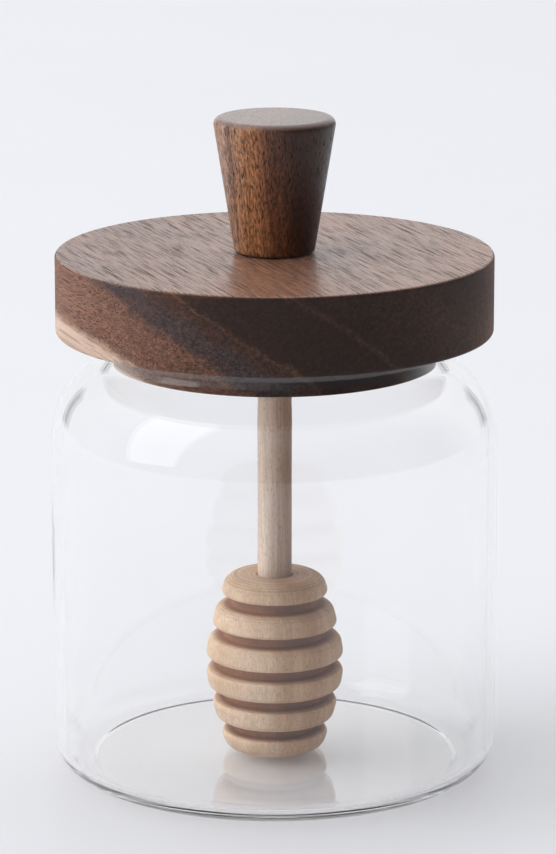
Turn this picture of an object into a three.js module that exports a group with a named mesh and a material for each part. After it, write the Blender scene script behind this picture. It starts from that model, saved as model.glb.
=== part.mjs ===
// A round jar of clear glass with a turned walnut lid and knob, and a beech honey dipper
// that hangs from the lid. Sizes are in millimetres and +Z is up.
// The origin is the middle of the jar's underside, where the jar stands.
import * as THREE from "three";

// The jar: a straight wall that leans in at the shoulder and turns up into a short neck.
const JAR_RADIUS = 50;
const WALL = 2.3;
const FLOOR_THICKNESS = 3;
const BASE_CORNER = 7.6;
const SHOULDER_START = 75.5;
const SHOULDER_RADIUS = 20;
const SHOULDER_LEAN = 50;
const NECK_RADIUS = 38.2;
const NECK_FILLET = 6;
const RIM_HEIGHT = 100;

// The lid: a thick disc that rests on the rim, with a plug that reaches into the neck.
const LID_RADIUS = 48.7;
const LID_THICKNESS = 17.6;
const LID_EDGE = 0.8;
const PLUG_RADIUS = 35.5;
const PLUG_DEPTH = 7.7;

// The knob: a cone that widens upwards, with a rounded top edge.
const KNOB_HEIGHT = 30;
const KNOB_BASE_RADIUS = 8.95;
const KNOB_TOP_RADIUS = 13.75;
const KNOB_TOP_EDGE = 1.6;
const KNOB_BASE_EDGE = 0.3;

// The dipper: a dowel let into the plug and into the top of a ribbed barrel.
const ROD_RADIUS = 3.85;
const ROD_SHOWN = 48.5;
const ROD_IN_PLUG = 5;
const ROD_IN_HEAD = 6;
const HEAD_LENGTH = 40.5;
const HEAD_RADIUS = 15.7;
const HEAD_DROP = 4.9;
const HEAD_DROP_POWER = 1.45;
const HEAD_END_EDGE = 2;
const RIBS = 6;
const RIB_PITCH = 7.3;
const RIB_EDGE = 0.95;
const GROOVE_WIDTH = 2.4;
const GROOVE_DEPTH = 3.2;

// Pieces that touch keep this much air between them.
const TOUCH = 0.3;

const WALNUT = { color: 0x5d4336, roughness: 0.55, metalness: 0 };
const BEECH = { color: 0xcdb196, roughness: 0.65, metalness: 0 };
const GLASS = { color: 0xf2f7f6, roughness: 0.02, metalness: 0, transparent: true, opacity: 0.3 };

const radians = THREE.MathUtils.degToRad;

// Points [radius, height] along an arc between two angles in degrees, both ends included.
function arc(centreRadius, centreHeight, radius, from, to, steps) {
  return Array.from({ length: steps + 1 }, (_, i) => {
    const angle = radians(from + ((to - from) * i) / steps);
    return [centreRadius + radius * Math.cos(angle), centreHeight + radius * Math.sin(angle)];
  });
}

// A closed turned solid from its section, listed from the lower axis point out and up.
function turned(name, section, sides, finish) {
  const points = section.map(([radius, height]) => new THREE.Vector2(Math.max(radius, 0), height));
  const geometry = new THREE.LatheGeometry(points, sides).rotateX(Math.PI / 2);
  const mesh = new THREE.Mesh(geometry, new THREE.MeshStandardMaterial(finish));
  mesh.name = name;
  return mesh;
}

// The wall is one thickness from the base corner to the rim, so each arc of the inside
// shares its centre with the arc outside it.
function jar() {
  const lean = radians(SHOULDER_LEAN);
  const shoulderCentre = JAR_RADIUS - SHOULDER_RADIUS;
  const shoulderEnd = shoulderCentre + SHOULDER_RADIUS * Math.cos(lean);
  const filletCentre = NECK_RADIUS + NECK_FILLET;
  const filletStart = filletCentre - NECK_FILLET * Math.cos(lean);
  const slope = (shoulderEnd - filletStart) / Math.tan(lean);
  const filletHeight = SHOULDER_START + (SHOULDER_RADIUS + NECK_FILLET) * Math.sin(lean) + slope;
  const cornerCentre = JAR_RADIUS - BASE_CORNER;
  const innerCorner = BASE_CORNER - WALL;
  const rimRadius = WALL / 2;
  return turned(
    "jar",
    [
      [0, 0],
      ...arc(cornerCentre, BASE_CORNER, BASE_CORNER, -90, 0, 7),
      ...arc(shoulderCentre, SHOULDER_START, SHOULDER_RADIUS, 0, SHOULDER_LEAN, 7),
      ...arc(filletCentre, filletHeight, NECK_FILLET, 180 + SHOULDER_LEAN, 180, 4),
      ...arc(NECK_RADIUS - rimRadius, RIM_HEIGHT - rimRadius, rimRadius, 0, 180, 6),
      ...arc(filletCentre, filletHeight, NECK_FILLET + WALL, 180, 180 + SHOULDER_LEAN, 4),
      ...arc(shoulderCentre, SHOULDER_START, SHOULDER_RADIUS - WALL, SHOULDER_LEAN, 0, 6),
      ...arc(cornerCentre, FLOOR_THICKNESS + innerCorner, innerCorner, 0, -90, 6),
      [0, FLOOR_THICKNESS],
    ],
    64,
    GLASS,
  );
}

// Height 0 is the underside of the disc. The plug hangs below it, with a blind hole for the rod.
function lid() {
  const hole = ROD_RADIUS + TOUCH;
  return turned(
    "lid",
    [
      [0, ROD_IN_PLUG - PLUG_DEPTH],
      [hole, ROD_IN_PLUG - PLUG_DEPTH],
      [hole, -PLUG_DEPTH],
      ...arc(PLUG_RADIUS - LID_EDGE, LID_EDGE - PLUG_DEPTH, LID_EDGE, -90, 0, 3),
      [PLUG_RADIUS, 0],
      ...arc(LID_RADIUS - LID_EDGE, LID_EDGE, LID_EDGE, -90, 0, 3),
      ...arc(LID_RADIUS - LID_EDGE, LID_THICKNESS - LID_EDGE, LID_EDGE, 0, 90, 3),
      [0, LID_THICKNESS],
    ],
    64,
    WALNUT,
  );
}

// Height 0 is the knob's underside.
function knob() {
  const flare = Math.atan((KNOB_TOP_RADIUS - KNOB_BASE_RADIUS) / KNOB_HEIGHT);
  const edgeCentre = KNOB_TOP_RADIUS - KNOB_TOP_EDGE * Math.tan(Math.PI / 4 + flare / 2);
  return turned(
    "knob",
    [
      [0, 0],
      [KNOB_BASE_RADIUS - KNOB_BASE_EDGE, 0],
      [KNOB_BASE_RADIUS, KNOB_BASE_EDGE],
      ...arc(
        edgeCentre,
        KNOB_HEIGHT - KNOB_TOP_EDGE,
        KNOB_TOP_EDGE,
        -THREE.MathUtils.radToDeg(flare),
        90,
        5,
      ),
      [0, KNOB_HEIGHT],
    ],
    48,
    WALNUT,
  );
}

// Height 0 is the plug's underside, and the rod reaches up into the plug and down into the head.
function rod() {
  const top = ROD_IN_PLUG - TOUCH;
  const bottom = TOUCH - ROD_SHOWN - ROD_IN_HEAD;
  return turned(
    "dipper_rod",
    [
      [0, bottom],
      [ROD_RADIUS, bottom],
      [ROD_RADIUS, top],
      [0, top],
    ],
    28,
    BEECH,
  );
}

// Radius of the barrel that the ribs fill, at a height from the head's middle.
function barrel(height) {
  const share = Math.abs(height) / (HEAD_LENGTH / 2);
  return HEAD_RADIUS - HEAD_DROP * Math.pow(share, HEAD_DROP_POWER);
}

// One rib's section between two heights, with its lower and its upper edge rounded.
function rib(low, high, lowEdge, highEdge) {
  return [
    ...arc(barrel(low + lowEdge) - lowEdge, low + lowEdge, lowEdge, -90, 0, 3),
    ...arc(barrel(high - highEdge) - highEdge, high - highEdge, highEdge, 0, 90, 3),
  ];
}

// Height 0 is the head's middle. The two end ribs run out to the flat ends.
function head() {
  const half = HEAD_LENGTH / 2;
  const hole = ROD_RADIUS + TOUCH;
  const section = [[0, -half]];
  for (let i = 0; i < RIBS; i++) {
    const middle = (i - (RIBS - 1) / 2) * RIB_PITCH;
    const reach = (RIB_PITCH - GROOVE_WIDTH) / 2;
    const first = i === 0;
    const last = i === RIBS - 1;
    const low = first ? -half : middle - reach;
    const high = last ? half : middle + reach;
    const core = (height) => barrel(height) - GROOVE_DEPTH;
    if (!first) section.push([core(low), low]);
    section.push(...rib(low, high, first ? HEAD_END_EDGE : RIB_EDGE, last ? HEAD_END_EDGE : RIB_EDGE));
    if (!last) section.push([core(high), high]);
  }
  section.push([hole, half], [hole, half - ROD_IN_HEAD], [0, half - ROD_IN_HEAD]);
  return turned("dipper_head", section, 36, BEECH);
}

function dipper() {
  const group = new THREE.Group();
  const barrelPiece = head();
  barrelPiece.position.z = -ROD_SHOWN - HEAD_LENGTH / 2;
  group.add(rod(), barrelPiece);
  return group;
}

function liddedJar() {
  const knobPiece = knob();
  knobPiece.position.z = LID_THICKNESS + TOUCH;
  const dipperGroup = dipper();
  dipperGroup.position.z = -PLUG_DEPTH;
  const lidGroup = new THREE.Group();
  lidGroup.position.z = RIM_HEIGHT + TOUCH;
  lidGroup.add(lid(), knobPiece, dipperGroup);
  const group = new THREE.Group();
  group.add(jar(), lidGroup);
  return group;
}

export default liddedJar();
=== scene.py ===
import math

import bpy
from bpy.props import (
    FloatProperty,
    FloatVectorProperty,
    IntProperty,
    PointerProperty,
)
from bpy.types import NodeSocket, Operator, Panel, PropertyGroup
from mathutils import Matrix, Vector


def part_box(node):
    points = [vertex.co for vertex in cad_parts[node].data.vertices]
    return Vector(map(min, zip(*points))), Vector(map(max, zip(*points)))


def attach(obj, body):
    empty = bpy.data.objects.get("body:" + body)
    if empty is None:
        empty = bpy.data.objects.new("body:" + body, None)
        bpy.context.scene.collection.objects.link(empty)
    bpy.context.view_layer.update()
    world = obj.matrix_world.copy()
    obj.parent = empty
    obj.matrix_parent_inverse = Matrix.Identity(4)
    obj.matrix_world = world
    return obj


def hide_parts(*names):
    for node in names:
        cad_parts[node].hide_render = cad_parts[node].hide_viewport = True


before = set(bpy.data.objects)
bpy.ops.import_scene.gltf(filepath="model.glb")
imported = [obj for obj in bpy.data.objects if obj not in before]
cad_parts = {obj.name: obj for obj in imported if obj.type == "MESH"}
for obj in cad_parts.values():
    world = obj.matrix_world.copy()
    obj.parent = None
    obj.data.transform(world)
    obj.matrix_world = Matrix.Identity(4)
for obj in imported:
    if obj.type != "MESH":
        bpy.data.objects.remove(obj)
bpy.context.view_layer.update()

bl_info = {
    "name": "Lidded honey jar",
    "version": (1, 0, 0),
    "blender": (4, 5, 0),
    "location": "3D View > Sidebar > Honey Jar",
    "description": "Makes a clear glass jar with a turned walnut lid and a beech honey dipper",
    "category": "Object",
}

JAR_LOW, JAR_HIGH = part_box("jar")
LID_LOW, LID_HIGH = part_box("lid")
KNOB_LOW, KNOB_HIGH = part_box("knob")
ROD_LOW, ROD_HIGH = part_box("dipper_rod")
HEAD_LOW, HEAD_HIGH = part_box("dipper_head")

# Pieces that touch keep this much air between them, as the solids do.
TOUCH = 0.0003
# The disc rests just above the rim, and the lid's grain is placed from its underside.
DISC_UNDERSIDE = JAR_HIGH.z + TOUCH
# Width of the eased edges of the rod's ends, inside the plug and the head.
ROD_EDGE = 0.0002
# Points closer together than this become one where a turned form closes.
SEAM = 1e-6

# The lid's board: the direction of its grain, and the direction in which its rings follow each other.
LID_GRAIN = Vector((math.cos(math.radians(-68)), math.sin(math.radians(-68)), 0))
LID_RINGS = (Vector((0.927, 0.375, 0)) * 0.6 + Vector((0, 0, 0.8)) + LID_GRAIN * 0.025).normalized()
# Depths along the rings, in metres: the whole record of streaks, and where sapwood turns into heartwood.
LID_RECORD = (-0.030, 0.045)
LID_HEARTWOOD = (-0.0262, -0.0240)
# The knob's board, as the lid's, with the point from which its rings are counted. Its rings run across the
# knob from left to right, so that their colours also paint light and shade.
KNOB_HEART = Vector((0.004, 0.003, KNOB_LOW.z))
KNOB_RINGS = Vector((0.92, -0.39, 0)).normalized()
KNOB_GRAIN = Vector((0.05, 0, 1))
KNOB_RECORD = (-0.018, 0.014)
# The dipper's wood, and the points from which the grain of its two pieces is placed.
BEECH_RINGS = Vector((0.8, 0.6, 0))
BEECH_GRAIN = Vector((0.03, 0.02, 1))
ROD_HEART = Vector((0.003, 0.001, 0))
HEAD_HEART = Vector((0.012, 0.006, 0.01))
# Painted shade: tints that darken the rod and the head towards their shaded +X side, and the head in its
# grooves.
ROD_SHADED_SIDE = (0.56, 0.46, 0.39)
HEAD_SHADED_SIDE = (0.76, 0.65, 0.56)
GROOVE_SHADE = (0.52, 0.31, 0.19)
# How much of a lamp's light the glass passes, from face on (0) to edge on (1).
GLASS_PASSES = ((0.0, 0.99), (0.6, 0.97), (1.0, 0.86))
# The lights: azimuth and elevation in degrees, and width and height for each metre of distance.
LIGHTS_AIM = Vector((0, 0, 0.08))
WINDOW_PLACE = (-71, 36.5)
WINDOW_SHAPE = (0.55, 1.08)
WINDOW_ROLL = 9.7
DAYLIGHT_PLACE = (-98, 36)
DAYLIGHT_SHAPE = (1.25, 1.25)


def srgb(code):
    """A colour written as 0xRRGGBB, as linear values."""
    parts = [(code >> shift & 255) / 255 for shift in (16, 8, 0)]
    return tuple(p / 12.92 if p <= 0.04045 else ((p + 0.055) / 1.055) ** 2.4 for p in parts)


def length(name, description, default):
    return FloatProperty(
        name=name, description=description, default=default, min=0, precision=5, unit="LENGTH"
    )


def colour(name, description, code):
    return FloatVectorProperty(
        name=name, description=description, default=srgb(code), min=0, max=1, size=3, subtype="COLOR"
    )


class JarSizes(PropertyGroup):
    radius: length("Radius", "Outer radius of the straight wall", JAR_HIGH.x)
    rim_height: length("Rim Height", "Height of the rim over the table", JAR_HIGH.z)
    wall: length("Wall", "Thickness of the glass wall", 0.0023)
    floor: length("Floor", "Thickness of the glass floor", 0.003)
    base_corner: length("Base Corner", "Outer radius where the wall meets the floor", 0.0076)
    inner_corner: length("Inner Corner", "Inner radius where the wall meets the floor", 0.0038)
    shoulder_start: length("Shoulder Start", "Height where the wall starts to lean in", 0.0755)
    shoulder_radius: length("Shoulder Radius", "Outer radius of the shoulder's bend", 0.020)
    shoulder_lean: FloatProperty(
        name="Shoulder Lean",
        description="How far the shoulder leans in",
        default=math.radians(50),
        subtype="ANGLE",
    )
    neck_radius: length("Neck Radius", "Outer radius of the neck", 0.0382)
    neck_fillet: length("Neck Fillet", "Radius of the hollow bend from the shoulder to the neck", 0.006)
    hollow: length("Hollow", "Height of the shallow hollow in the underside", 0.0004)
    hollow_radius: length("Hollow Radius", "Radius where the hollow ends and the jar stands", 0.0418)
    hollow_slope: length("Hollow Slope", "Width of the slope up to the hollow", 0.0020)


class LidSizes(PropertyGroup):
    radius: length("Radius", "Radius of the disc", LID_HIGH.x)
    thickness: length("Thickness", "Thickness of the disc", LID_HIGH.z - DISC_UNDERSIDE)
    edge: length("Edge", "Radius of the eased edges", 0.0008)
    plug_radius: length("Plug Radius", "Radius of the plug in the neck", 0.0355)
    plug_depth: length("Plug Depth", "How far the plug reaches below the disc", DISC_UNDERSIDE - LID_LOW.z)
    rod_hole: length("Rod Hole", "Radius of the hole for the rod", ROD_HIGH.x + TOUCH)
    rod_hole_depth: length("Rod Hole Depth", "Depth of the hole for the rod", 0.005)


class KnobSizes(PropertyGroup):
    height: length("Height", "Height of the knob", KNOB_HIGH.z - KNOB_LOW.z)
    base_radius: length("Base Radius", "Radius where the knob stands on the disc", 0.00895)
    top_radius: length("Top Radius", "Radius to which the sides widen at the top", 0.01375)
    top_edge: length("Top Edge", "Radius of the rounded top edge", 0.0016)
    base_edge: length("Base Edge", "Width of the eased lower edge", 0.0003)


class DipperSizes(PropertyGroup):
    rod_radius: length("Rod Radius", "Radius of the rod", ROD_HIGH.x)
    head_radius: length("Head Radius", "Radius of the head at its middle", 0.0157)
    head_drop: length("Head Drop", "How much smaller the head's radius is at its ends", 0.0049)
    head_power: FloatProperty(
        name="Head Power", description="How late the barrel starts to narrow", default=1.45, min=1
    )
    end_edge: length("End Edge", "Radius of the edges of the flat ends", 0.002)
    ribs: IntProperty(name="Ribs", description="Number of ribs, an even number", default=6, min=2)
    pitch: length("Pitch", "Height from one rib to the next", 0.0073)
    rib_edge: length("Rib Edge", "Radius of the ribs' edges", 0.0014)
    groove_width: length("Groove Width", "Height of a groove", 0.0024)
    groove_depth: length("Groove Depth", "Depth of a groove below the barrel", 0.0032)
    socket_depth: length("Socket Depth", "How deep the rod goes into the head", 0.006)


class Finishes(PropertyGroup):
    walnut_dark: colour("Walnut Dark", "Darkest streaks of the walnut", 0x7C5845)
    walnut_brown: colour("Walnut Brown", "Brown of the walnut", 0xAE8773)
    # The blue grey is partly painted sheen.
    walnut_blue_and_sheen: colour("Walnut Blue", "Blue grey streaks of the walnut", 0x655B60)
    walnut_light: colour("Walnut Light", "Lightest streaks of the walnut", 0xA58370)
    sapwood: colour("Sapwood", "Cream sapwood at the lid's edge", 0xE0C6B2)
    # The knob's warm and dark tones also paint its lit and shaded sides.
    knob_warm_lit_side: colour("Knob Warm", "Orange brown of the knob's lit side", 0xB67E54)
    knob_brown: colour("Knob Brown", "Brown in the middle of the knob", 0x7E5038)
    knob_dark_and_shade: colour("Knob Dark", "Dark streaks of the knob", 0x3A2218)
    knob_top: colour("Knob Top", "Brown of the knob's flat top", 0x6B5248)
    lid_pores: colour("Lid Pores", "Open pores of the lid", 0x241814)
    knob_pores: colour("Knob Pores", "Open pores of the knob", 0x1A0F0B)
    rod_light: colour("Rod Light", "Pale beech of the rod", 0xF0DECE)
    rod_dark: colour("Rod Dark", "Darker grain of the rod", 0xC4A58E)
    head_light: colour("Head Light", "Pale beech of the head", 0xF0D6BE)
    head_dark: colour("Head Dark", "Darker grain of the head", 0xC8A480)
    flecks: colour("Flecks", "Short brown flecks of the beech", 0x8A6445)
    glass: colour("Glass", "Tint of the light that passes through the glass", 0xFFFFFF)
    table: colour("Table", "Pale table top", 0xE6E7EB)


class StageSettings(PropertyGroup):
    window_radiance: FloatProperty(
        name="Window Light", description="Brightness of the window on the left", default=1.1, min=0
    )
    daylight_radiance: FloatProperty(
        name="Daylight",
        description="Brightness of the soft light from the left that no surface mirrors",
        default=1.2,
        min=0,
    )
    window_distance: length("Window Distance", "Distance from the jar to the window", 2.6)
    room_light: FloatProperty(
        name="Room Light", description="Brightness of the pale room", default=0.98, min=0
    )
    table_radius: length("Table Radius", "Radius of the table top", 3.2)
    camera_distance: length("Camera Distance", "Distance from the jar's axis to the camera", 0.9104)
    camera_height: length("Camera Height", "Height of the camera over the table", 0.3014)
    camera_tilt: FloatProperty(
        name="Camera Tilt",
        description="How far the camera looks down",
        default=math.radians(13.792),
        subtype="ANGLE",
    )
    camera_turn: FloatProperty(
        name="Camera Turn",
        description="How far the camera is turned to the right",
        default=math.radians(0.0471),
        subtype="ANGLE",
    )
    focal_length: FloatProperty(
        name="Focal Length", description="Focal length on a 36 mm wide sensor, in mm", default=176.62, min=1
    )


class HoneyJarSettings(PropertyGroup):
    jar: PointerProperty(type=JarSizes)
    lid: PointerProperty(type=LidSizes)
    knob: PointerProperty(type=KnobSizes)
    dipper: PointerProperty(type=DipperSizes)
    finishes: PointerProperty(type=Finishes)
    stage: PointerProperty(type=StageSettings)


def node(tree, kind, inputs=None, **settings):
    """A new node. Each input is given by name or number, as a value or as the socket that feeds it."""
    made = tree.nodes.new(kind)
    for name, value in settings.items():
        setattr(made, name, value)
    for key, value in (inputs or {}).items():
        socket = made.inputs[key]
        if isinstance(value, NodeSocket):
            tree.links.new(value, socket)
        else:
            socket.default_value = value
    return made


def maths(tree, operation, *values, clamp=False):
    made = node(tree, "ShaderNodeMath", dict(enumerate(values)), operation=operation, use_clamp=clamp)
    return made.outputs[0]


def named_input(tree, name, kind, default=None):
    socket = tree.interface.new_socket(name=name, in_out="INPUT", socket_type=kind)
    if default is not None:
        socket.default_value = default
    return socket


def geometry_tree(name):
    tree = bpy.data.node_groups.new(name, "GeometryNodeTree")
    tree.interface.new_socket(name="Geometry", in_out="OUTPUT", socket_type="NodeSocketGeometry")
    return tree


def turned_tree():
    """A tree that turns a section, a line of points in the XZ plane, once round the Z axis."""
    tree = geometry_tree("Turned Form")
    named_input(tree, "Section", "NodeSocketGeometry")
    named_input(tree, "Sides", "NodeSocketInt", 192)
    named_input(tree, "Seam", "NodeSocketFloat", SEAM)
    named_input(tree, "Finish", "NodeSocketMaterial")
    given = node(tree, "NodeGroupInput").outputs
    size = node(tree, "GeometryNodeAttributeDomainSize", {"Geometry": given["Section"]}, component="MESH")
    across = maths(tree, "ADD", given["Sides"], 1)
    grid = node(
        tree, "GeometryNodeMeshGrid", {"Vertices X": size.outputs["Point Count"], "Vertices Y": across}
    )
    index = node(tree, "GeometryNodeInputIndex").outputs["Index"]
    row = maths(tree, "FLOOR", maths(tree, "DIVIDE", maths(tree, "ADD", index, 0.5), across))
    step = maths(tree, "SUBTRACT", index, maths(tree, "MULTIPLY", row, across))
    position = node(tree, "GeometryNodeInputPosition").outputs["Position"]
    point = node(
        tree,
        "GeometryNodeSampleIndex",
        {"Geometry": given["Section"]},
        data_type="FLOAT_VECTOR",
        domain="POINT",
    )
    tree.links.new(position, next(s for s in point.inputs if s.name == "Value" and s.enabled))
    tree.links.new(row, point.inputs["Index"])
    taken = next(s for s in point.outputs if s.enabled)
    parts = node(tree, "ShaderNodeSeparateXYZ", {0: taken})
    turn = maths(tree, "MULTIPLY", maths(tree, "DIVIDE", step, given["Sides"]), 2 * math.pi)
    placed = node(
        tree,
        "ShaderNodeCombineXYZ",
        {
            "X": maths(tree, "MULTIPLY", parts.outputs["X"], maths(tree, "COSINE", turn)),
            "Y": maths(tree, "MULTIPLY", parts.outputs["X"], maths(tree, "SINE", turn)),
            "Z": parts.outputs["Z"],
        },
    )
    turned = node(
        tree, "GeometryNodeSetPosition", {"Geometry": grid.outputs["Mesh"], "Position": placed.outputs[0]}
    )
    outwards = node(tree, "GeometryNodeFlipFaces", {"Mesh": turned.outputs[0]})
    closed = node(
        tree, "GeometryNodeMergeByDistance", {"Geometry": outwards.outputs[0], "Distance": given["Seam"]}
    )
    smooth = node(tree, "GeometryNodeSetShadeSmooth", {"Geometry": closed.outputs[0]})
    realized = node(tree, "GeometryNodeRealizeInstances", {"Geometry": smooth.outputs[0]})
    finished = node(
        tree, "GeometryNodeSetMaterial", {"Geometry": realized.outputs[0], "Material": given["Finish"]}
    )
    node(tree, "NodeGroupOutput", {"Geometry": finished.outputs[0]})
    return tree


def ribbed_tree(turning):
    """A tree that works out a ribbed barrel's section, joins it to the socket's and turns both."""
    tree = geometry_tree("Ribbed Head")
    named_input(tree, "Socket Section", "NodeSocketGeometry")
    for name in ("Middle", "Length", "Radius", "Drop", "Power", "End Edge", "Pitch", "Rib Edge"):
        named_input(tree, name, "NodeSocketFloat")
    for name in ("Groove Width", "Groove Depth", "Seam"):
        named_input(tree, name, "NodeSocketFloat")
    for name in ("Ribs", "Rows", "Sides"):
        named_input(tree, name, "NodeSocketInt")
    named_input(tree, "Finish", "NodeSocketMaterial")
    given = node(tree, "NodeGroupInput").outputs
    half = maths(tree, "DIVIDE", given["Length"], 2)
    line = node(tree, "GeometryNodeMeshLine", {"Count": given["Rows"]}, mode="OFFSET")
    index = node(tree, "GeometryNodeInputIndex").outputs["Index"]
    share = maths(tree, "DIVIDE", index, maths(tree, "SUBTRACT", given["Rows"], 1))
    # The rows lie closer together towards the flat ends, where the edge is round.
    swing = maths(tree, "COSINE", maths(tree, "MULTIPLY", share, math.pi))
    height = maths(tree, "MULTIPLY", swing, maths(tree, "MULTIPLY", half, -1))
    from_middle = maths(tree, "ABSOLUTE", height)
    narrowing = maths(tree, "POWER", maths(tree, "DIVIDE", from_middle, half), given["Power"])
    barrel = maths(tree, "SUBTRACT", given["Radius"], maths(tree, "MULTIPLY", given["Drop"], narrowing))
    # The grooves' middles are whole pitches away from the head's middle.
    pitches = maths(tree, "PINGPONG", maths(tree, "DIVIDE", from_middle, given["Pitch"]), 0.5)
    from_groove = maths(tree, "MULTIPLY", pitches, given["Pitch"])
    half_ribs = maths(tree, "DIVIDE", given["Ribs"], 2)
    last_groove = maths(tree, "MULTIPLY", maths(tree, "SUBTRACT", half_ribs, 0.5), given["Pitch"])
    past_last = maths(tree, "GREATER_THAN", from_middle, last_groove)
    from_groove = maths(tree, "ADD", from_groove, maths(tree, "MULTIPLY", past_last, given["Pitch"]))
    lip = maths(tree, "DIVIDE", given["Groove Width"], 2)
    rounding = rounded_edge(tree, maths(tree, "SUBTRACT", from_groove, lip), given["Rib Edge"])
    # The groove's walls curve over this share of half its width, on each side of the lip.
    wall = maths(tree, "MULTIPLY", lip, 0.18)
    groove = node(
        tree,
        "ShaderNodeMapRange",
        {
            "Value": from_groove,
            "From Min": maths(tree, "SUBTRACT", lip, wall),
            "From Max": maths(tree, "ADD", lip, wall),
            "To Min": given["Groove Depth"],
            "To Max": 0.0,
        },
        interpolation_type="SMOOTHERSTEP",
    ).outputs[0]
    cut = maths(tree, "MAXIMUM", groove, rounding)
    end = rounded_edge(tree, maths(tree, "SUBTRACT", half, from_middle), given["End Edge"])
    radius = maths(tree, "SUBTRACT", maths(tree, "SUBTRACT", barrel, cut), end)
    off_axis = maths(tree, "GREATER_THAN", index, 0.5)
    placed = node(
        tree,
        "ShaderNodeCombineXYZ",
        {"X": maths(tree, "MULTIPLY", radius, off_axis), "Z": maths(tree, "ADD", height, given["Middle"])},
    )
    section = node(
        tree, "GeometryNodeSetPosition", {"Geometry": line.outputs["Mesh"], "Position": placed.outputs[0]}
    )
    joined = node(tree, "GeometryNodeJoinGeometry")
    tree.links.new(given["Socket Section"], joined.inputs[0])
    tree.links.new(section.outputs[0], joined.inputs[0])
    turned = node(tree, "GeometryNodeGroup", node_tree=turning)
    for name, source in (
        ("Section", joined.outputs[0]),
        ("Sides", given["Sides"]),
        ("Seam", given["Seam"]),
        ("Finish", given["Finish"]),
    ):
        tree.links.new(source, turned.inputs[name])
    realized = node(tree, "GeometryNodeRealizeInstances", {"Geometry": turned.outputs[0]})
    finished = node(
        tree, "GeometryNodeSetMaterial", {"Geometry": realized.outputs[0], "Material": given["Finish"]}
    )
    node(tree, "NodeGroupOutput", {"Geometry": finished.outputs[0]})
    return tree


def rounded_edge(tree, distance, edge):
    """How far a quarter round of radius edge lies inside its corner, at a distance from the corner."""
    inside = maths(tree, "SUBTRACT", 1, maths(tree, "DIVIDE", distance, edge), clamp=True)
    reach = maths(tree, "SQRT", maths(tree, "SUBTRACT", 1, maths(tree, "POWER", inside, 2)))
    return maths(tree, "MULTIPLY", maths(tree, "SUBTRACT", 1, reach), edge)


def section_object(name, points):
    """An object that holds points (radius, height) as one line in the XZ plane."""
    mesh = bpy.data.meshes.new(name)
    mesh.from_pydata([(r, 0, z) for r, z in points], [(i, i + 1) for i in range(len(points) - 1)], [])
    made = bpy.data.objects.new(name, mesh)
    bpy.context.collection.objects.link(made)
    return made


def piece_from_nodes(name, points, tree, **values):
    """The plain mesh piece that the tree makes of a section. The values go to the tree's inputs by name."""
    source = section_object(name + "_section", points)
    modifier = source.modifiers.new(tree.name, "NODES")
    modifier.node_group = tree
    identifiers = {
        item.name: item.identifier for item in tree.interface.items_tree if item.in_out == "INPUT"
    }
    for label, value in values.items():
        modifier[identifiers[label.replace("_", " ").title()]] = value
    evaluated = source.evaluated_get(bpy.context.evaluated_depsgraph_get())
    mesh = bpy.data.meshes.new_from_object(evaluated)
    mesh.name = name
    # The section came without a material, and its empty slot goes.
    mesh.materials.pop(index=0)
    bpy.data.objects.remove(source)
    made = bpy.data.objects.new(name, mesh)
    bpy.context.collection.objects.link(made)
    return made


def tree_named(name, make, *needs):
    return bpy.data.node_groups.get(name) or make(*needs)


def turned_piece(name, points, finish, sides=256):
    turning = tree_named("Turned Form", turned_tree)
    return piece_from_nodes(name, points, turning, sides=sides, seam=SEAM, finish=finish)


def stands_for(piece, cad_node):
    """The piece stands in for a CAD node, which is hidden, and hangs under the root body."""
    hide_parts(cad_node)
    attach(piece, "root")


def arc(radius, height, bend, start, end, steps):
    """Points along an arc round (radius, height), between two angles in degrees, both ends included."""
    angles = [math.radians(start + (end - start) * i / steps) for i in range(steps + 1)]
    return [(radius + bend * math.cos(a), height + bend * math.sin(a)) for a in angles]


def wave(r0, z0, r1, z1, steps):
    """Points along a smooth S from one height to another, level at both ends."""
    shares = [i / steps for i in range(steps + 1)]
    return [(r0 + (r1 - r0) * t, z0 + (z1 - z0) * (1 - math.cos(math.pi * t)) / 2) for t in shares]


def stretch(start, end, margin=0.0004):
    """Two points near the ends of a straight stretch, which keep it straight when it is shaded."""
    (r0, z0), (r1, z1) = start, end
    share = min(margin / math.dist(start, end), 0.3)
    near = (r0 + (r1 - r0) * share, z0 + (z1 - z0) * share)
    far = (r1 - (r1 - r0) * share, z1 - (z1 - z0) * share)
    return [near, far]


def joined(*parts):
    """One outline from stretches of points, with a straight stretch between each pair."""
    outline = list(parts[0])
    for part in parts[1:]:
        outline += stretch(outline[-1], part[0])
        outline += part
    return outline


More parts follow.
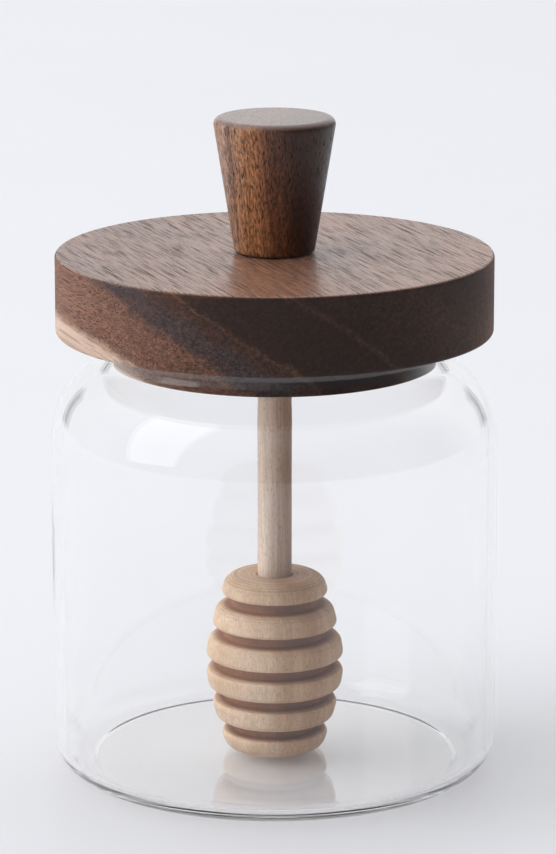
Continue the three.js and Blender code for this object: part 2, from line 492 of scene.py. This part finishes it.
def jar_section(jar):
    lean = jar.shoulder_lean
    shoulder = jar.radius - jar.shoulder_radius
    shoulder_end = shoulder + jar.shoulder_radius * math.cos(lean)
    fillet = jar.neck_radius + jar.neck_fillet
    fillet_start = fillet - jar.neck_fillet * math.cos(lean)
    slope = (shoulder_end - fillet_start) / math.tan(lean)
    bends = jar.shoulder_radius + jar.neck_fillet
    fillet_height = jar.shoulder_start + bends * math.sin(lean) + slope
    corner = jar.radius - jar.base_corner
    inside = jar.inner_corner
    floor_edge = jar.radius - jar.wall - inside
    rim = jar.wall / 2
    lean_degrees = math.degrees(lean)
    return joined(
        [(0, jar.hollow)],
        wave(jar.hollow_radius - jar.hollow_slope, jar.hollow, jar.hollow_radius, 0, steps=12),
        arc(corner, jar.base_corner, jar.base_corner, -90, 0, steps=20),
        arc(shoulder, jar.shoulder_start, jar.shoulder_radius, 0, lean_degrees, steps=24),
        arc(fillet, fillet_height, jar.neck_fillet, 180 + lean_degrees, 180, steps=12),
        arc(jar.neck_radius - rim, jar.rim_height - rim, rim, 0, 180, steps=16),
        arc(fillet, fillet_height, jar.neck_fillet + jar.wall, 180, 180 + lean_degrees, steps=12),
        arc(shoulder, jar.shoulder_start, jar.shoulder_radius - jar.wall, lean_degrees, 0, steps=24),
        arc(floor_edge, jar.floor + inside, inside, 0, -90, steps=20),
        [(0, jar.floor)],
    )


def lid_section(lid):
    low = DISC_UNDERSIDE
    plug = low - lid.plug_depth
    hole_top = plug + lid.rod_hole_depth
    return joined(
        [(0, hole_top)],
        [(lid.rod_hole, hole_top)],
        [(lid.rod_hole, plug)],
        arc(lid.plug_radius - lid.edge, plug + lid.edge, lid.edge, -90, 0, steps=8),
        [(lid.plug_radius, low)],
        arc(lid.radius - lid.edge, low + lid.edge, lid.edge, -90, 0, steps=8),
        arc(lid.radius - lid.edge, low + lid.thickness - lid.edge, lid.edge, 0, 90, steps=8),
        [(0, low + lid.thickness)],
    )


def knob_section(knob):
    low = KNOB_LOW.z
    top = low + knob.height
    flare = math.atan((knob.top_radius - knob.base_radius) / knob.height)
    edge_centre = knob.top_radius - knob.top_edge * math.tan(math.pi / 4 + flare / 2)
    return joined(
        [(0, low)],
        [(knob.base_radius - knob.base_edge, low)],
        [(knob.base_radius, low + knob.base_edge)],
        arc(edge_centre, top - knob.top_edge, knob.top_edge, -math.degrees(flare), 90, steps=12),
        [(0, top)],
    )


def rod_section(dipper):
    edge = ROD_EDGE
    return joined(
        [(0, ROD_LOW.z)],
        [(dipper.rod_radius - edge, ROD_LOW.z)],
        [(dipper.rod_radius, ROD_LOW.z + edge)],
        [(dipper.rod_radius, ROD_HIGH.z - edge)],
        [(dipper.rod_radius - edge, ROD_HIGH.z)],
        [(0, ROD_HIGH.z)],
    )


def socket_section(dipper, lid):
    """The flat top of the dipper's head, and the hole in it from its edge down to the axis."""
    bottom = HEAD_HIGH.z - dipper.socket_depth
    flat_edge = dipper.head_radius - dipper.head_drop - dipper.end_edge
    return joined(
        [(flat_edge, HEAD_HIGH.z)],
        [(lid.rod_hole, HEAD_HIGH.z)],
        [(lid.rod_hole, bottom)],
        [(0, bottom)],
    )


def new_material(name):
    material = bpy.data.materials.new(name)
    material.use_nodes = True
    tree = material.node_tree
    tree.nodes.clear()
    return material, tree


def noise(tree, place, scales, detail=2.0, roughness=0.5):
    """Noise with a scale, in features for each metre, along each of the place's three directions."""
    stretched = node(tree, "ShaderNodeVectorMath", {0: place, 1: scales}, operation="MULTIPLY")
    return node(
        tree,
        "ShaderNodeTexNoise",
        {"Vector": stretched.outputs[0], "Scale": 1.0, "Detail": detail, "Roughness": roughness},
        noise_dimensions="3D",
    ).outputs[0]


def ramp(tree, factor, *stops):
    """A colour for each factor. A stop is (factor, colour)."""
    made = node(tree, "ShaderNodeValToRGB", {0: factor})
    elements = made.color_ramp.elements
    while len(elements) < len(stops):
        elements.new(0.5)
    for element, (place, tone) in zip(elements, stops):
        element.position = place
        element.color = (*tone, 1)
    return made.outputs[0]


def span(tree, value, low, high, to_low=0.0, to_high=1.0, kind="SMOOTHSTEP"):
    """The value's way from low to high as one from to_low to to_high, and no further at either end."""
    return node(
        tree,
        "ShaderNodeMapRange",
        {"Value": value, "From Min": low, "From Max": high, "To Min": to_low, "To Max": to_high},
        interpolation_type=kind,
    ).outputs[0]


def mix(tree, factor, first, second, blend="MIX"):
    made = node(
        tree, "ShaderNodeMix", {0: factor, 6: first, 7: second}, data_type="RGBA", blend_type=blend
    )
    return made.outputs[2]


def tinted(tree, base, tint, share=1.0):
    """The base colour times the tint, as far as the share says."""
    return mix(tree, share, base, tint, "MULTIPLY")


def opaque(tone):
    return (*tone, 1)


def object_place(tree):
    return node(tree, "ShaderNodeTexCoord").outputs["Object"]


def parts_of(tree, vector):
    return node(tree, "ShaderNodeSeparateXYZ", {0: vector}).outputs


def distance_from_axis(tree, parts):
    squares = [maths(tree, "POWER", parts[name], 2) for name in "XY"]
    return maths(tree, "SQRT", maths(tree, "ADD", *squares))


def board_place(tree, origin, rings, grain):
    """Object coordinates in the board's directions: across the rings, along them, and along the grain."""
    grain = (grain - rings * grain.dot(rings)).normalized()
    along = grain.cross(rings)
    turn = Matrix((rings, along, grain))
    return node(
        tree,
        "ShaderNodeMapping",
        {"Vector": object_place(tree), "Location": -(turn @ origin), "Rotation": turn.to_euler("XYZ")},
        vector_type="POINT",
    ).outputs[0]


def wavering(tree, depth, waver, reach):
    """The depth, shifted by up to half the reach each way as the waver goes from 0 to 1."""
    return maths(tree, "MULTIPLY_ADD", maths(tree, "SUBTRACT", waver, 0.5), reach, depth)


def principled(tree, base, roughness, normal=None, **fixed):
    """The surface shader, with its output. Fixed values are the shader's own sockets, by name."""
    inputs = {"Base Color": base, "Roughness": roughness}
    if normal is not None:
        inputs["Normal"] = normal
    inputs.update({name.replace("_", " "): value for name, value in fixed.items()})
    shader = node(tree, "ShaderNodeBsdfPrincipled", inputs)
    node(tree, "ShaderNodeOutputMaterial", {"Surface": shader.outputs[0]})
    return shader


def bump(tree, height, strength, distance):
    return node(
        tree, "ShaderNodeBump", {"Height": height, "Strength": strength, "Distance": distance}
    ).outputs[0]


def pores(tree, place, width, length_along, low, high):
    """Open pores as a share from 0 to 1: thin in both directions across the grain, long along it."""
    found = noise(tree, place, (1 / width, 1 / width, 1 / length_along), detail=1.5, roughness=0.6)
    return span(tree, found, low, high)


def facing_way(tree):
    return node(tree, "ShaderNodeTexCoord").outputs["Normal"]


def end_grain(tree, grain):
    """How far the surface cuts across the grain, from 0 along it to 1 straight across it."""
    across = node(tree, "ShaderNodeVectorMath", {0: facing_way(tree), 1: grain}, operation="DOT_PRODUCT")
    return span(tree, maths(tree, "ABSOLUTE", across.outputs["Value"]), 0.2, 0.85)


def walnut_lid(settings):
    """Walnut with this board's record of rings: cream sapwood low on one side, then streaks, the blue grey
    ones partly painted sheen.
    """
    tones = settings.finishes
    dark, brown, blue, light = tones.walnut_dark, tones.walnut_brown, tones.walnut_blue_and_sheen, tones.walnut_light
    material, tree = new_material("walnut lid")
    place = board_place(tree, Vector((0, 0, DISC_UNDERSIDE)), LID_RINGS, LID_GRAIN)
    slow = noise(tree, place, (35, 35, 9), detail=3)
    fine = noise(tree, place, (260, 160, 24), detail=3, roughness=0.6)
    depth = parts_of(tree, place)["X"]
    ring = wavering(tree, wavering(tree, depth, slow, reach=0.006), fine, reach=0.0035)
    record = span(tree, ring, *LID_RECORD, kind="LINEAR")
    heart = span(tree, ring, *LID_HEARTWOOD)
    upward = span(tree, parts_of(tree, facing_way(tree))["Z"], 0.6, 0.95)
    across = end_grain(tree, LID_GRAIN)
    # The blue grey streaks are partly painted sheen of the window.
    streaks = ramp(
        tree,
        record,
        (0.05, tones.sapwood),
        (0.08, light),
        (0.12, brown),
        (0.155, light),
        (0.185, brown),
        (0.215, blue),
        (0.255, blue),
        (0.29, dark),
        (0.300, dark),
        (0.309, brown),
        (0.320, dark),
        (0.480, dark),
        (0.496, brown),
        (0.512, dark),
        (0.70, brown),
        (0.85, dark),
        (1.00, brown),
    )
    # The top is mostly one brown, with broad clouds and fine dark lines along the grain.
    streaks = mix(tree, maths(tree, "MULTIPLY", upward, 0.75), streaks, opaque(brown))
    clouds = noise(tree, place, (40, 40, 14), detail=2)
    clouds = ramp(tree, clouds, (0.35, (0.8, 0.77, 0.76)), (0.65, (1.16, 1.14, 1.13)))
    streaks = tinted(tree, streaks, clouds)
    narrow = noise(tree, place, (1900, 500, 12), detail=2, roughness=0.6)
    lined = mix(tree, span(tree, narrow, 0.42, 0.72, 0, 0.5), streaks, opaque(dark))
    # The heartwood is darker on the sides than on the top, as painted shade, and darkest where they cut
    # across the grain.
    darker = mix(tree, upward, opaque((0.68, 0.58, 0.53)), opaque((0.74, 0.66, 0.60)))
    shaded = tinted(tree, lined, darker, heart)
    cut_across = ramp(
        tree, record, (0.14, (0.5, 0.45, 0.42)), (0.25, (0.5, 0.5, 0.52)), (0.33, (0.15, 0.13, 0.12))
    )
    shaded = tinted(tree, shaded, cut_across, maths(tree, "MULTIPLY", across, heart))
    # The mottle is stronger across the grain.
    mottle = noise(tree, place, (1100, 1100, 200), detail=3, roughness=0.75)
    speckle = mix(
        tree,
        across,
        ramp(tree, mottle, (0.3, (0.78, 0.77, 0.76)), (0.7, (1.22, 1.2, 1.19))),
        ramp(tree, mottle, (0.36, (0.45, 0.45, 0.47)), (0.66, (1.9, 1.8, 1.7))),
    )
    mottled = tinted(tree, shaded, speckle, maths(tree, "MULTIPLY_ADD", heart, 0.7, 0.3))
    open_pores = pores(tree, place, width=0.00022, length_along=0.026, low=0.49, high=0.65)
    pore_share = maths(tree, "MULTIPLY", open_pores, maths(tree, "MULTIPLY_ADD", heart, 0.7, 0.1))
    base = mix(tree, pore_share, mottled, opaque(tones.lid_pores))
    height = maths(tree, "SUBTRACT", maths(tree, "MULTIPLY", mottle, 0.25), open_pores)
    # The top is polished with oil, and the open pores break the polish.
    polish = span(tree, upward, 0, 1, 0.62, 0.24, kind="LINEAR")
    polish = maths(tree, "ADD", polish, span(tree, mottle, 0.3, 0.7, 0.0, 0.08, kind="LINEAR"))
    roughness = maths(tree, "MAXIMUM", polish, maths(tree, "MULTIPLY", pore_share, 0.95))
    unbroken = maths(tree, "SUBTRACT", 1, pore_share)
    oiled = maths(tree, "MULTIPLY", maths(tree, "MULTIPLY", upward, 0.4), unbroken)
    relief = bump(tree, height, strength=0.3, distance=0.00015)
    principled(tree, base, roughness, relief, IOR=1.42, Coat_Weight=oiled, Coat_Roughness=0.28)
    return material


def walnut_knob(settings):
    """Warmer walnut with upright grain, with painted light: orange brown on the lit side and nearly black
    on the shaded side.
    """
    tones = settings.finishes
    material, tree = new_material("walnut knob")
    place = board_place(tree, KNOB_HEART, KNOB_RINGS, KNOB_GRAIN)
    slow = noise(tree, place, (110, 110, 12), detail=3)
    ring = wavering(tree, parts_of(tree, place)["X"], slow, reach=0.006)
    record = span(tree, ring, *KNOB_RECORD, kind="LINEAR")
    # The ring colours run from the lit left side to the shaded right: painted light and shade over the
    # wood's streaks.
    streaks = ramp(
        tree,
        record,
        (0.0, tones.knob_warm_lit_side),
        (0.25, tones.walnut_light),
        (0.42, tones.knob_warm_lit_side),
        (0.6, tones.knob_brown),
        (0.75, tones.knob_dark_and_shade),
        (1.0, tones.knob_dark_and_shade),
    )
    narrow = noise(tree, place, (1100, 90, 14), detail=3, roughness=0.65)
    lined = mix(tree, span(tree, narrow, 0.38, 0.72, 0, 0.65), streaks, opaque(tones.knob_dark_and_shade))
    mottle = noise(tree, place, (1900, 1900, 600), detail=3, roughness=0.65)
    mottled = tinted(tree, lined, ramp(tree, mottle, (0.34, (0.5, 0.47, 0.45)), (0.66, (1.6, 1.55, 1.45))))
    open_pores = pores(tree, place, width=0.00028, length_along=0.004, low=0.54, high=0.66)
    pore_share = maths(tree, "MULTIPLY", open_pores, 0.8)
    base = mix(tree, pore_share, mottled, opaque(tones.knob_pores))
    height = maths(tree, "SUBTRACT", maths(tree, "MULTIPLY", mottle, 0.25), open_pores)
    # The flat top is cut across the grain and polished with oil.
    top = end_grain(tree, Vector((0, 0, 1)))
    base = mix(tree, top, base, mix(tree, 0.75, base, opaque(tones.knob_top)))
    roughness = maths(tree, "MAXIMUM", span(tree, mottle, 0.3, 0.7, 0.3, 0.42, kind="LINEAR"), pore_share)
    oiled = maths(tree, "MULTIPLY", top, 0.8)
    relief = bump(tree, height, strength=0.5, distance=0.00015)
    principled(tree, base, roughness, relief, IOR=1.42, Coat_Weight=oiled, Coat_Roughness=0.2)
    return material


def groove_shade_share(tree, dipper, parts, radius):
    """How deep a point of the head lies below the barrel that the ribs fill, from 0 to 1: the share of
    painted shade in the grooves.
    """
    middle, half = (HEAD_LOW.z + HEAD_HIGH.z) / 2, (HEAD_HIGH.z - HEAD_LOW.z) / 2
    height = maths(tree, "ABSOLUTE", maths(tree, "SUBTRACT", parts["Z"], middle))
    from_middle = maths(tree, "DIVIDE", height, half)
    narrowing = maths(
        tree, "MULTIPLY", maths(tree, "POWER", from_middle, dipper.head_power), dipper.head_drop
    )
    below = maths(tree, "SUBTRACT", maths(tree, "SUBTRACT", dipper.head_radius, narrowing), radius)
    inside_ends = span(tree, from_middle, 0.93, 0.97, 1.0, 0.0)
    return maths(tree, "MULTIPLY", span(tree, below, 0.0006, 0.0024), inside_ends)


def beech(name, light, dark, fleck_tone, origin, shaded_side_tint, dipper=None):
    """Pale beech, turned with its grain upright: faint lines and short flecks, with painted shade towards
    +X and in the grooves.
    """
    material, tree = new_material(name)
    place = board_place(tree, origin, BEECH_RINGS, BEECH_GRAIN)
    parts = parts_of(tree, object_place(tree))
    radius = distance_from_axis(tree, parts)
    slow = noise(tree, place, (160, 60, 10), detail=3)
    tone = ramp(tree, slow, (0.3, light), (0.75, dark))
    lines = noise(tree, place, (1300, 220, 25), detail=3, roughness=0.6)
    lined = mix(tree, span(tree, lines, 0.4, 0.75, 0, 0.45), tone, opaque(dark))
    flecks = pores(tree, place, width=0.00022, length_along=0.0012, low=0.57, high=0.65)
    flecked_and_shaded = mix(tree, maths(tree, "MULTIPLY", flecks, 0.4), lined, opaque(fleck_tone))
    # Lines from the lathe show on the faces that point up or down.
    rings = node(tree, "ShaderNodeCombineXYZ", {"X": radius, "Y": 0.0, "Z": parts["Z"]}).outputs[0]
    turning = noise(tree, rings, (2600, 1, 2600), detail=1)
    turning = ramp(tree, turning, (0.35, (0.82, 0.78, 0.74)), (0.65, (1.06, 1.06, 1.06)))
    level = maths(tree, "ABSOLUTE", parts_of(tree, facing_way(tree))["Z"])
    flecked_and_shaded = tinted(tree, flecked_and_shaded, turning, span(tree, level, 0.2, 0.7))
    # Painted shade: darker towards the shaded +X side.
    flecked_and_shaded = tinted(tree, flecked_and_shaded, opaque(shaded_side_tint), span(tree, parts["X"], -0.003, 0.0035))
    if dipper:
        # Painted shade in the grooves.
        flecked_and_shaded = tinted(tree, flecked_and_shaded, opaque(GROOVE_SHADE), groove_shade_share(tree, dipper, parts, radius))
    fibres = noise(tree, place, (2200, 2200, 120), detail=2, roughness=0.7)
    base = tinted(tree, flecked_and_shaded, ramp(tree, fibres, (0.3, (0.88, 0.87, 0.85)), (0.7, (1.1, 1.1, 1.09))))
    roughness = span(tree, fibres, 0.3, 0.7, 0.55, 0.68, kind="LINEAR")
    height = maths(tree, "SUBTRACT", maths(tree, "MULTIPLY", fibres, 0.5), flecks)
    relief = bump(tree, height, strength=0.3, distance=0.0001)
    principled(tree, base, roughness, relief, IOR=1.45)
    return material


def clear_glass(settings):
    """Clear glass with a faint waver. Lamps shine through it, a little less where it is met edge on."""
    material, tree = new_material("clear glass")
    waver = noise(tree, object_place(tree), (28, 28, 22), detail=1)
    glass = principled(
        tree,
        opaque(settings.finishes.glass),
        roughness=0.0,
        normal=bump(tree, waver, strength=0.12, distance=0.0006),
        IOR=1.5,
        Transmission_Weight=1.0,
    )
    facing = node(tree, "ShaderNodeLayerWeight", {"Blend": 0.5}).outputs["Facing"]
    passed = ramp(tree, facing, *((at, (share, share, share)) for at, share in GLASS_PASSES))
    shade = node(tree, "ShaderNodeBsdfTransparent", {"Color": passed})
    light = node(tree, "ShaderNodeLightPath").outputs
    bounced = node(
        tree, "ShaderNodeMixShader", {0: light["Is Diffuse Ray"], 1: glass.outputs[0], 2: shade.outputs[0]}
    )
    surface = node(
        tree, "ShaderNodeMixShader", {0: light["Is Shadow Ray"], 1: bounced.outputs[0], 2: shade.outputs[0]}
    )
    output = next(n for n in tree.nodes if n.type == "OUTPUT_MATERIAL")
    tree.links.new(surface.outputs[0], output.inputs["Surface"])
    return material


def table_top(settings):
    material, tree = new_material("table top")
    drift = noise(tree, object_place(tree), (6, 6, 6), detail=3)
    tone = settings.finishes.table
    base = ramp(tree, drift, (0.3, tuple(c * 0.985 for c in tone)), (0.7, tuple(tone)))
    principled(tree, base, roughness=0.5, IOR=1.4)
    return material


def area_light(name, direction, distance, shape, radiance, roll=0):
    """A rectangular light that the camera doesn't see, aimed at the jar and turned in its own plane."""
    width, height = (distance * side for side in shape)
    light = bpy.data.lights.new(name, "AREA")
    light.shape = "RECTANGLE"
    light.size = width
    light.size_y = height
    light.energy = radiance * math.pi * width * height
    made = bpy.data.objects.new(name, light)
    made.location = around(*direction, distance)
    aim = (LIGHTS_AIM - made.location).to_track_quat("-Z", "Y").to_matrix()
    made.rotation_euler = (aim @ Matrix.Rotation(math.radians(roll), 3, "Z")).to_euler()
    made.visible_camera = False
    bpy.context.collection.objects.link(made)
    return made


def around(azimuth, elevation, distance):
    """A place seen from the jar. Azimuth 0 is the camera's side and grows towards +X, in degrees."""
    a, e = math.radians(azimuth), math.radians(elevation)
    return Vector((math.sin(a) * math.cos(e), -math.cos(a) * math.cos(e), math.sin(e))) * distance


def pale_room(strength):
    """The room's light: bright behind the jar, dim in front, with a dark low gap at both sides."""
    world = bpy.data.worlds.new("pale room")
    bpy.context.scene.world = world
    world.use_nodes = True
    tree = world.node_tree
    tree.nodes.clear()
    parts = parts_of(tree, node(tree, "ShaderNodeTexCoord").outputs["Generated"])
    # Dim in front, more so on the right, and brighter overhead.
    rightward = maths(tree, "MAXIMUM", parts["X"], 0)
    behind = span(tree, maths(tree, "MULTIPLY_ADD", rightward, -0.45, parts["Y"]), -0.5, 0.3)
    front = span(tree, parts["X"], -0.6, 0.5, 0.5, 0.1)
    level = node(tree, "ShaderNodeMix", {0: behind, 2: front, 3: 0.9}, data_type="FLOAT").outputs[0]
    glow = maths(tree, "ADD", level, span(tree, parts["Z"], 0.35, 0.9, 0.0, 0.4))
    # The dark gaps are narrow, low, and behind the jar on the left and on the right.
    aside = maths(tree, "MULTIPLY_ADD", parts["Z"], 0.36, maths(tree, "ABSOLUTE", parts["X"]))
    past_start = span(tree, aside, 0.53, 0.55)
    before_end = span(tree, aside, 0.65, 0.675, 1.0, 0.0)
    near_floor = span(tree, parts["Z"], 0.22, 0.26, 1.0, 0.0)
    low = maths(tree, "MULTIPLY", near_floor, maths(tree, "GREATER_THAN", parts["Y"], 0))
    gap = maths(tree, "MULTIPLY", maths(tree, "MULTIPLY", past_start, before_end), low)
    walls = maths(tree, "SUBTRACT", 1, maths(tree, "MULTIPLY", gap, 0.97))
    shown = maths(tree, "MULTIPLY", maths(tree, "MULTIPLY", glow, walls), strength)
    background = node(tree, "ShaderNodeBackground", {"Color": (0.975, 0.985, 1.0, 1), "Strength": shown})
    node(tree, "ShaderNodeOutputWorld", {"Surface": background.outputs[0]})


def table_mesh(radius, height, sides=96):
    mesh = bpy.data.meshes.new("table")
    turns = [2 * math.pi * i / sides for i in range(sides)]
    corners = [(radius * math.cos(turn), radius * math.sin(turn), height) for turn in turns]
    mesh.from_pydata(corners, [], [list(range(sides))])
    return mesh


def light_paths(cycles):
    """Enough bounces for light inside the glass, and no sparkles from lamps seen through it."""
    cycles.caustics_refractive = False
    cycles.caustics_reflective = False
    cycles.max_bounces = 32
    cycles.glossy_bounces = 24
    cycles.transmission_bounces = 32
    cycles.transparent_max_bounces = 32


class HONEYJAR_OT_stage(Operator):
    """Add the table, the room's light, the window and the camera"""

    bl_idname = "honeyjar.stage"
    bl_label = "Add Stage"

    def execute(self, context):
        settings = context.scene.honey_jar
        stage = settings.stage
        table = bpy.data.objects.new("table", table_mesh(stage.table_radius, JAR_LOW.z - TOUCH))
        table.data.materials.append(table_top(settings))
        context.collection.objects.link(table)
        pale_room(stage.room_light)
        away = stage.window_distance
        area_light("window", WINDOW_PLACE, away, WINDOW_SHAPE, stage.window_radiance, WINDOW_ROLL)
        daylight = area_light(
            "daylight", DAYLIGHT_PLACE, 2 * away, DAYLIGHT_SHAPE, stage.daylight_radiance
        )
        daylight.visible_glossy = False
        daylight.visible_transmission = False
        camera = bpy.data.cameras.new("camera")
        camera.lens = stage.focal_length
        camera.clip_start = 0.05
        camera.clip_end = 20
        holder = bpy.data.objects.new("camera", camera)
        holder.location = (0, -stage.camera_distance, stage.camera_height)
        holder.rotation_euler = (math.pi / 2 - stage.camera_tilt, 0, -stage.camera_turn)
        context.collection.objects.link(holder)
        context.scene.camera = holder
        context.scene.view_settings.view_transform = "Standard"
        light_paths(context.scene.cycles)
        return {"FINISHED"}


class HONEYJAR_OT_jar(Operator):
    """Add the glass jar"""

    bl_idname = "honeyjar.jar"
    bl_label = "Add Glass Jar"

    def execute(self, context):
        settings = context.scene.honey_jar
        piece = turned_piece("glass_jar", jar_section(settings.jar), clear_glass(settings))
        stands_for(piece, "jar")
        return {"FINISHED"}


class HONEYJAR_OT_lid(Operator):
    """Add the lid and its knob"""

    bl_idname = "honeyjar.lid"
    bl_label = "Add Lid and Knob"

    def execute(self, context):
        settings = context.scene.honey_jar
        disc = turned_piece("lid_disc", lid_section(settings.lid), walnut_lid(settings))
        stands_for(disc, "lid")
        grip = turned_piece("lid_knob", knob_section(settings.knob), walnut_knob(settings), sides=160)
        stands_for(grip, "knob")
        return {"FINISHED"}


class HONEYJAR_OT_dipper(Operator):
    """Add the dipper's rod and ribbed head"""

    bl_idname = "honeyjar.dipper"
    bl_label = "Add Dipper"

    def execute(self, context):
        settings = context.scene.honey_jar
        dipper = settings.dipper
        tones = settings.finishes
        rod_finish = beech(
            "beech rod", tones.rod_light, tones.rod_dark, tones.flecks, ROD_HEART, ROD_SHADED_SIDE
        )
        head_finish = beech(
            "beech head", tones.head_light, tones.head_dark, tones.flecks, HEAD_HEART, HEAD_SHADED_SIDE, dipper
        )
        rod = turned_piece("rod", rod_section(dipper), rod_finish, sides=96)
        stands_for(rod, "dipper_rod")
        turning = tree_named("Turned Form", turned_tree)
        ribbed = tree_named("Ribbed Head", ribbed_tree, turning)
        head = piece_from_nodes(
            "ribbed_head",
            socket_section(dipper, settings.lid),
            ribbed,
            middle=(HEAD_LOW.z + HEAD_HIGH.z) / 2,
            length=HEAD_HIGH.z - HEAD_LOW.z,
            radius=dipper.head_radius,
            drop=dipper.head_drop,
            power=dipper.head_power,
            end_edge=dipper.end_edge,
            pitch=dipper.pitch,
            rib_edge=dipper.rib_edge,
            groove_width=dipper.groove_width,
            groove_depth=dipper.groove_depth,
            seam=SEAM,
            ribs=dipper.ribs,
            rows=640,
            sides=128,
            finish=head_finish,
        )
        stands_for(head, "dipper_head")
        return {"FINISHED"}


class HONEYJAR_PT_sidebar(Panel):
    bl_idname = "HONEYJAR_PT_sidebar"
    bl_label = "Honey Jar"
    bl_space_type = "VIEW_3D"
    bl_region_type = "UI"
    bl_category = "Honey Jar"

    def draw(self, context):
        layout = self.layout
        settings = context.scene.honey_jar
        for operator in OPERATORS:
            layout.operator(operator.bl_idname)
        for part in HoneyJarSettings.__annotations__:
            group = getattr(settings, part)
            column = layout.box().column()
            for name in group.__annotations__:
                column.prop(group, name)


OPERATORS = (HONEYJAR_OT_stage, HONEYJAR_OT_jar, HONEYJAR_OT_lid, HONEYJAR_OT_dipper)
CLASSES = (
    JarSizes,
    LidSizes,
    KnobSizes,
    DipperSizes,
    Finishes,
    StageSettings,
    HoneyJarSettings,
    *OPERATORS,
    HONEYJAR_PT_sidebar,
)


def register():
    for made in CLASSES:
        bpy.utils.register_class(made)
    bpy.types.Scene.honey_jar = PointerProperty(type=HoneyJarSettings)


def unregister():
    del bpy.types.Scene.honey_jar
    for made in reversed(CLASSES):
        bpy.utils.unregister_class(made)


def main():
    register()
    bpy.ops.honeyjar.stage()
    bpy.ops.honeyjar.jar()
    bpy.ops.honeyjar.lid()
    bpy.ops.honeyjar.dipper()


if __name__ == "__main__":
    main()
